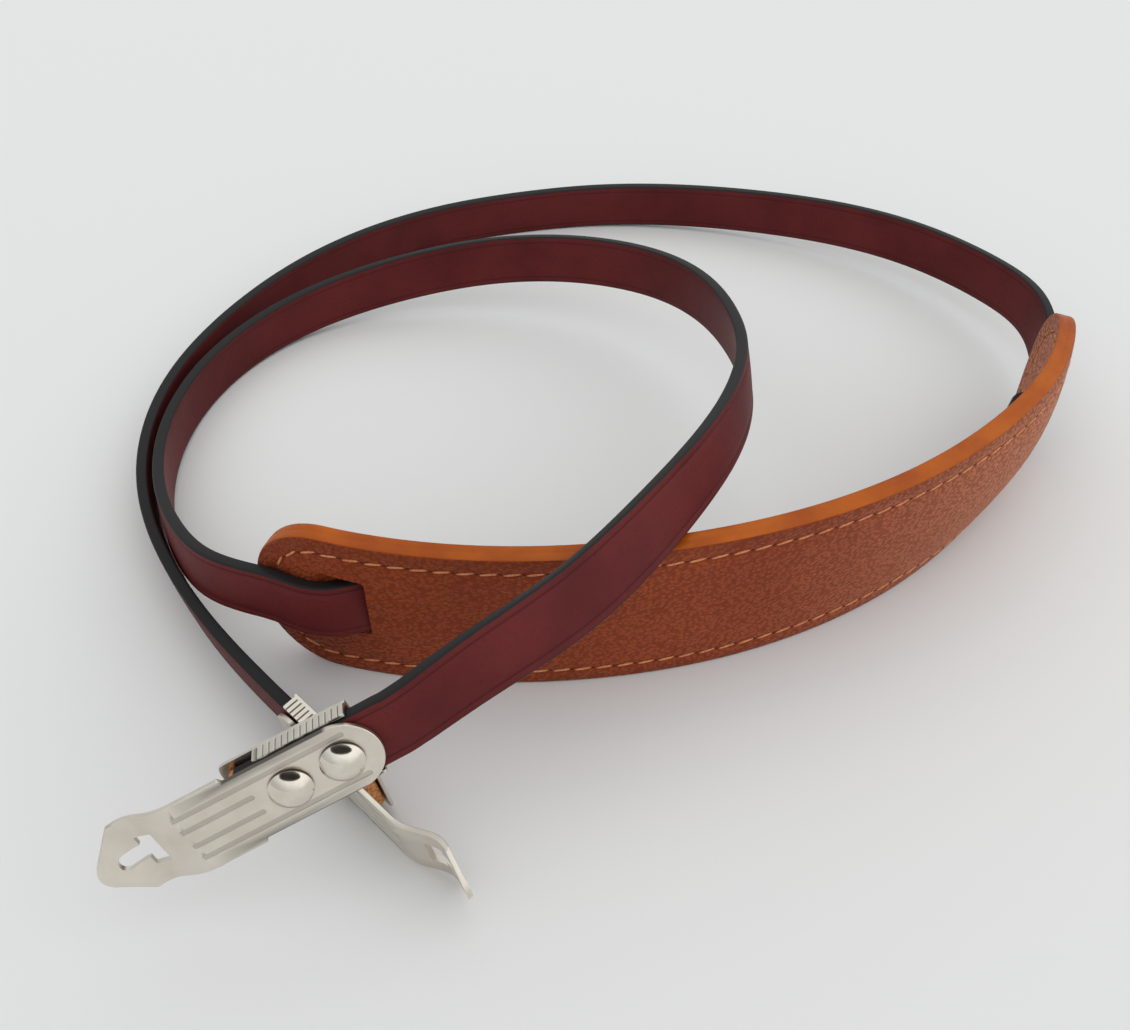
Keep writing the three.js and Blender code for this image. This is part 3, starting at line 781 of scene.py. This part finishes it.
def strap_leather():
    """Smooth burgundy leather with a fine grain, edges painted black and bare tan fibres at its ends."""
    material, shade = new_material("burgundy_leather")
    place = shade.node("ShaderNodeTexCoord", output=3)
    across = shade.node("ShaderNodeAttribute", {"attribute_name": "across"}, output=2)
    from_end = shade.node("ShaderNodeAttribute", {"attribute_name": "from_end"}, output=2)
    waver = shade.node("ShaderNodeTexNoise", Vector=place, Scale=420.0, Detail=2.0)
    half = strap_width / 2
    line_place = half - pressed_line_inset
    painted = (abs(across) + (waver - 0.5) * 0.0002).rise(half - 0.00042, half - 0.00028)
    line = 1 - abs(abs(across) - line_place).rise(0.0001, 0.0003)
    settings = {"feature": "SMOOTH_F1"}
    grain = shade.node("ShaderNodeTexVoronoi", settings, Vector=place, Scale=2100.0)
    fine = shade.node("ShaderNodeTexNoise", Vector=place, Scale=1500.0, Detail=3.0)
    clouds = shade.node("ShaderNodeTexNoise", Vector=place, Scale=60.0, Detail=4.0).rise(0.3, 0.7)
    hide = clouds.mix((0.090, 0.0115, 0.0122, 1.0), (0.122, 0.0165, 0.0165, 1.0))
    speckled = (fine.rise(0.5, 0.75) * 0.35).mix(hide, (0.070, 0.0090, 0.0100, 1.0))
    lined = (line * 0.45).mix(speckled, (0.040, 0.006, 0.008, 1.0))
    dyed = painted.mix(lined, (0.0180, 0.0170, 0.0175, 1.0))
    fibres = shade.node("ShaderNodeTexNoise", Vector=place, Scale=1800.0, Detail=4.0)
    bare_colour = fibres.rise(0.35, 0.65).mix((0.40, 0.14, 0.045, 1.0), (0.70, 0.33, 0.13, 1.0))
    bare = (from_end + (fibres - 0.5) * 0.0008).rise(bare_end, bare_end - 0.0004)
    colour = bare.mix(dyed, bare_colour)
    height = (grain * 0.6 + fine * 0.5) * (1 - painted * 0.8) + bare * fibres * 2
    bump = shade.node("ShaderNodeBump", Strength=0.35, Distance=0.0001, Height=height)
    rough = 0.48 + 0.12 * fine - painted * 0.06 + bare * 0.35
    finish_material(shade, Base_Color=colour, Roughness=rough, Normal=bump, Specular_IOR_Level=0.13)
    return material


strap.data.materials.append(strap_leather())
work_on(strap)
bpy.ops.object.shade_smooth_by_angle(angle=math.radians(50))
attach(strap, "root")
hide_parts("strap")

# Clip plates and channels
# Each clip is a bent plate on the strap's outer face and a folded channel behind it with a serrated
# flange over each edge. Both are stamped from nickel-plated sheet, and two rivets hold them together.

sheet_thick = 0.001
plate_top = strap_thick / 2 + piece_gap + sheet_thick
groove_depth = 0.00015
groove_half = 0.00055
groove_from = 0.0035
groove_to = 0.0358
groove_middles = np.array([0.0017, 0.0045])
groove_floor_share = 0.85
sheet_weld = 0.000005
keyhole_from = 0.0402
keyhole_half = 0.0034
serration_depth = 0.0003
flange_outer = strap_width / 2 + piece_gap + 0.0007
sheet_ease = {"plate": 0.0002, "channel": 0.0001}


def clip_places(clip, mesh):
    """A mesh's points in its clip's own directions, from the place where the strap enters the clip."""
    return (mesh_points(mesh) - np.array(clip["start"]) - np.array(shift)) @ clip_axes(clip).T


def soften_grooves(clip, mesh):
    """Slopes the sides of the pressed grooves, marks their floors and the serration valleys as painted
    shade, and finds the crisp points.
    """
    places = clip_places(clip, mesh)
    in_keyhole = (places[:, 0] > keyhole_from) & (np.abs(places[:, 1]) < keyhole_half)
    middles = np.sign(places[:, 1:2]) * groove_middles
    nearest = np.abs(places[:, 1:2] - middles).argmin(axis=1)
    middle = middles[np.arange(len(places)), nearest]
    in_groove = np.abs(places[:, 1] - middle) < 1.1 * groove_half
    in_groove &= (places[:, 0] > groove_from) & (places[:, 0] < groove_to)
    floor = in_groove & (np.abs(places[:, 2] - plate_top + groove_depth) < groove_depth / 4)
    rim = in_groove & (np.abs(places[:, 2] - plate_top) < groove_depth / 4)
    places[floor, 1] = (middle + (places[:, 1] - middle) * groove_floor_share)[floor]
    moved = places @ clip_axes(clip) + np.array(clip["start"]) + np.array(shift)
    mesh.vertices.foreach_set("co", moved.ravel())
    valley = np.abs(np.abs(places[:, 1]) - flange_outer + serration_depth) < serration_depth / 4
    # Painted shade: groove floors a little darker, serration valleys nearly black.
    mesh.attributes.new("groove_and_valley_shade", "FLOAT", "POINT")
    set_values(mesh, "groove_and_valley_shade", floor, 0.3)
    set_values(mesh, "groove_and_valley_shade", valley, 1.0)
    return floor | rim | in_keyhole


def satin_nickel():
    """Satin nickel with cloudy wear, fine scratches, rougher grooves, and painted shade in the grooves and
    serration valleys.
    """
    material, shade = new_material("satin_nickel")
    place = shade.node("ShaderNodeTexCoord", output=3)
    groove_and_valley_shade = shade.node("ShaderNodeAttribute", {"attribute_name": "groove_and_valley_shade"}, output=2)
    clouds = shade.node("ShaderNodeTexNoise", Vector=place, Scale=140.0, Detail=4.0)
    scratches = shade.node("ShaderNodeTexNoise", Vector=place, Scale=2400.0, Detail=3.0)
    sheet = clouds.rise(0.3, 0.7).mix((0.66, 0.605, 0.53, 1.0), (0.745, 0.69, 0.61, 1.0))
    # Painted shade: darker metal in the groove floors, nearly black in the serration valleys.
    colour = (groove_and_valley_shade * 0.9).mix(sheet, (0.08, 0.07, 0.06, 1.0))
    bump = shade.node("ShaderNodeBump", Strength=0.06, Distance=0.0001, Height=scratches)
    rough = 0.30 + 0.1 * clouds + groove_and_valley_shade * 0.15
    finish_material(shade, Base_Color=colour, Metallic=1.0, Roughness=rough, Normal=bump)
    return material


nickel = satin_nickel()
for clip_name, clip in clips.items():
    for part, ease in sheet_ease.items():
        node_name = f"{clip_name}_{part}"
        sheet = bpy.data.objects.new(f"{node_name}_sheet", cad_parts[node_name].data.copy())
        bpy.context.scene.collection.objects.link(sheet)
        sheet.data.materials.clear()
        sheet.data.materials.append(nickel)
        work_on(sheet)
        bpy.ops.object.mode_set(mode="EDIT")
        bpy.ops.mesh.select_all(action="SELECT")
        bpy.ops.mesh.remove_doubles(threshold=sheet_weld)
        if part == "plate":
            bpy.ops.mesh.dissolve_limited(angle_limit=math.radians(1))
        bpy.ops.mesh.select_mode(type="EDGE")
        bpy.ops.mesh.select_all(action="DESELECT")
        bpy.ops.mesh.edges_select_sharp(sharpness=math.radians(28))
        bpy.ops.object.mode_set(mode="OBJECT")
        crisp = soften_grooves(clip, sheet.data)
        sharp = [edge.select and not crisp[list(edge.vertices)].all() for edge in sheet.data.edges]
        sheet.data.polygons.foreach_set("select", [False] * len(sheet.data.polygons))
        sheet.data.vertices.foreach_set("select", [False] * len(sheet.data.vertices))
        sheet.data.edges.foreach_set("select", sharp)
        bpy.ops.object.mode_set(mode="EDIT")
        bpy.ops.mesh.bevel(offset=ease, segments=2)
        bpy.ops.object.mode_set(mode="OBJECT")
        bpy.ops.object.shade_smooth_by_angle(angle=math.radians(35))
        weighting = sheet.modifiers.new("Flat faces", "WEIGHTED_NORMAL")
        weighting.keep_sharp = True
        bpy.ops.object.modifier_apply(modifier=weighting.name)
        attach(sheet, "root")
        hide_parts(node_name)

# Rivets
# Two polished domed rivets go through each plate, the strap and the channel.
# Each one is turned from nickel-plated steel, and its end is hammered flat behind the channel.

rivet_places = [0.0068, 0.0163]
rivet_head = 0.0037
rivet_dome = 0.0019
rivet_rim = 0.0003
rivet_shank = 0.0015
rivet_back = 0.0025
rivet_back_rise = 0.0008
rivet_back_ease = 0.0002
rivet_head_ease = 0.00012
rivet_head_step = 0.0001
rivet_weld = 0.000002
rivet_sides = 48
channel_thick = 0.0007
rivet_seat = plate_top + piece_gap
rivet_foot = -strap_thick / 2 - piece_gap - channel_thick - piece_gap


def rivet_profile():
    """Half of the rivet's outline, from the middle of its back to the top of its dome."""
    rise = rivet_dome - rivet_rim
    radius = (rivet_head**2 + rise**2) / (2 * rise)
    top = rivet_seat + rivet_dome
    back = rivet_foot - rivet_back_rise
    profile = [
        (0.0, back),
        (rivet_back * 0.7, back),
        (rivet_back * 0.93, back + rivet_back_ease),
        (rivet_back, rivet_foot),
        (rivet_shank, rivet_foot),
        (rivet_shank, rivet_seat),
        (rivet_head - rivet_head_ease, rivet_seat),
        (rivet_head, rivet_seat + rivet_head_step),
    ]
    for angle in np.linspace(math.asin(rivet_head / radius), 0, 12):
        profile.append((radius * math.sin(angle), top - radius * (1 - math.cos(angle))))
    return profile


def polished_nickel():
    """Polished nickel with a few fine handling marks."""
    material, shade = new_material("polished_nickel")
    place = shade.node("ShaderNodeTexCoord", output=3)
    marks = shade.node("ShaderNodeTexNoise", Vector=place, Scale=500.0, Detail=4.0)
    colour = marks.rise(0.3, 0.7).mix((0.68, 0.62, 0.54, 1.0), (0.76, 0.71, 0.63, 1.0))
    rough = 0.08 + 0.08 * marks
    finish_material(shade, Base_Color=colour, Metallic=1.0, Roughness=rough)
    return material


def place_in_clip(clip, mesh, distance):
    """Moves a mesh made around the origin to its place along a clip."""
    axes = clip_axes(clip)
    origin = np.array(clip["start"]) + axes[0] * distance + np.array(shift)
    mesh.transform(Matrix(np.vstack([np.column_stack([axes.T, origin]), [0, 0, 0, 1]]).tolist()))


def pierce_strap(clip, distance):
    """Cuts a rivet's hole in the strap and gives the hole's points their places on the strap."""
    radius = rivet_shank + piece_gap
    bpy.ops.object.select_all(action="DESELECT")
    bpy.ops.mesh.primitive_cylinder_add(vertices=24, radius=radius, depth=4 * strap_thick)
    hole = bpy.context.active_object
    place_in_clip(clip, hole.data, distance)
    cut_away(strap, hole)
    places = clip_places(clip, strap.data)
    at_hole = np.hypot(places[:, 0] - distance, places[:, 1]) < 1.05 * radius
    at_hole &= np.abs(places[:, 2]) < strap_thick
    set_values(strap.data, "across", at_hole, places[:, 1])
    set_values(strap.data, "from_end", at_hole, strap_end - places[:, 0])


polished = polished_nickel()
for clip_name, clip in clips.items():
    for number, distance in enumerate(rivet_places, 1):
        profile = [(x, 0.0, z) for x, z in rivet_profile()]
        rivet = new_piece(f"{clip_name}_domed_rivet_{number}", profile, [])
        links = [end for i in range(len(profile) - 1) for end in (i, i + 1)]
        rivet.data.edges.add(len(profile) - 1)
        rivet.data.edges.foreach_set("vertices", links)
        work_on(rivet)
        bpy.ops.object.mode_set(mode="EDIT")
        bpy.ops.mesh.select_all(action="SELECT")
        bpy.ops.mesh.spin(steps=rivet_sides, angle=2 * math.pi, center=(0, 0, 0), axis=(0, 0, 1))
        bpy.ops.mesh.select_all(action="SELECT")
        bpy.ops.mesh.remove_doubles(threshold=rivet_weld)
        bpy.ops.object.mode_set(mode="OBJECT")
        place_in_clip(clip, rivet.data, distance)
        face_outwards(rivet)
        rivet.data.materials.append(polished)
        bpy.ops.object.shade_smooth_by_angle(angle=math.radians(35))
        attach(rivet, "root")
        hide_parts(f"{clip_name}_rivet_{number}")
        pierce_strap(clip, distance)

# Studio
# A pale table top under broad soft light from above and in front, seen from the photograph's place.
# A dark card behind the camera gives the polished metal something dark to reflect.

floor_size = 6.0
floor_place = (0.0, 0.0, -0.00002)
bpy.ops.object.select_all(action="DESELECT")
bpy.ops.mesh.primitive_grid_add(x_subdivisions=8, y_subdivisions=8, size=floor_size, location=floor_place)
floor = bpy.context.active_object
floor.name = "table_top"
floor_material, floor_shade = new_material("pale_table_top")
floor_colour = (0.712, 0.712, 0.708, 1.0)
finish_material(floor_shade, Base_Color=floor_colour, Roughness=0.7, Specular_IOR_Level=0.2)
floor.data.materials.append(floor_material)

focal_pixels = 1334.0
photo_width = 1130.0
camera_height = 0.212
camera_data = bpy.data.cameras.new("photo_camera")
camera_data.sensor_width = 36.0
camera_data.lens = camera_data.sensor_width * focal_pixels / photo_width
camera = bpy.data.objects.new("photo_camera", camera_data)
camera.location = Vector((0.0, -camera_height, camera_height)) + shift
camera.rotation_euler = (math.radians(45), 0, 0)
bpy.context.scene.collection.objects.link(camera)
bpy.context.scene.camera = camera

card_half_width = 0.20
card_half_height = 0.075
card_behind = 0.03
bpy.ops.mesh.primitive_circle_add(vertices=32, radius=1.0, fill_type="NGON")
card = bpy.context.active_object
card.name = "dark_card"
card_turn = camera.rotation_euler.to_matrix().to_4x4()
card_size = Matrix.Diagonal((card_half_width, card_half_height, 1.0, 1.0))
card_place = Matrix.Translation(camera.location) @ card_turn @ Matrix.Translation((0, 0, card_behind))
card.data.transform(card_place @ card_size)
card_material, card_shade = new_material("dark_card")
finish_material(card_shade, Base_Color=(0.02, 0.015, 0.012, 1.0), Roughness=0.9)
card.data.materials.append(card_material)
card.visible_camera = False
card.visible_diffuse = False

key_direction = (0.42, -0.12, 0.90)
low_light = (0.595, 0.615, 0.62, 1.0)
key_light = (1.30, 1.315, 1.315, 1.0)
world = bpy.data.worlds.new("studio_air")
world.use_nodes = True
world.node_tree.nodes.clear()
sky = Shade(world.node_tree)
direction = sky.node("ShaderNodeTexCoord", output=0)
settings = {"operation": "DOT_PRODUCT"}
towards_key = sky.node("ShaderNodeVectorMath", settings, 1, i0=direction, i1=key_direction)
glow = towards_key.rise(-0.2, 1.0).mix(low_light, key_light)
air = sky.node("ShaderNodeBackground", Color=glow)
sky.node("ShaderNodeOutputWorld", Surface=air)
bpy.context.scene.world = world
bpy.context.scene.view_settings.view_transform = "Standard"
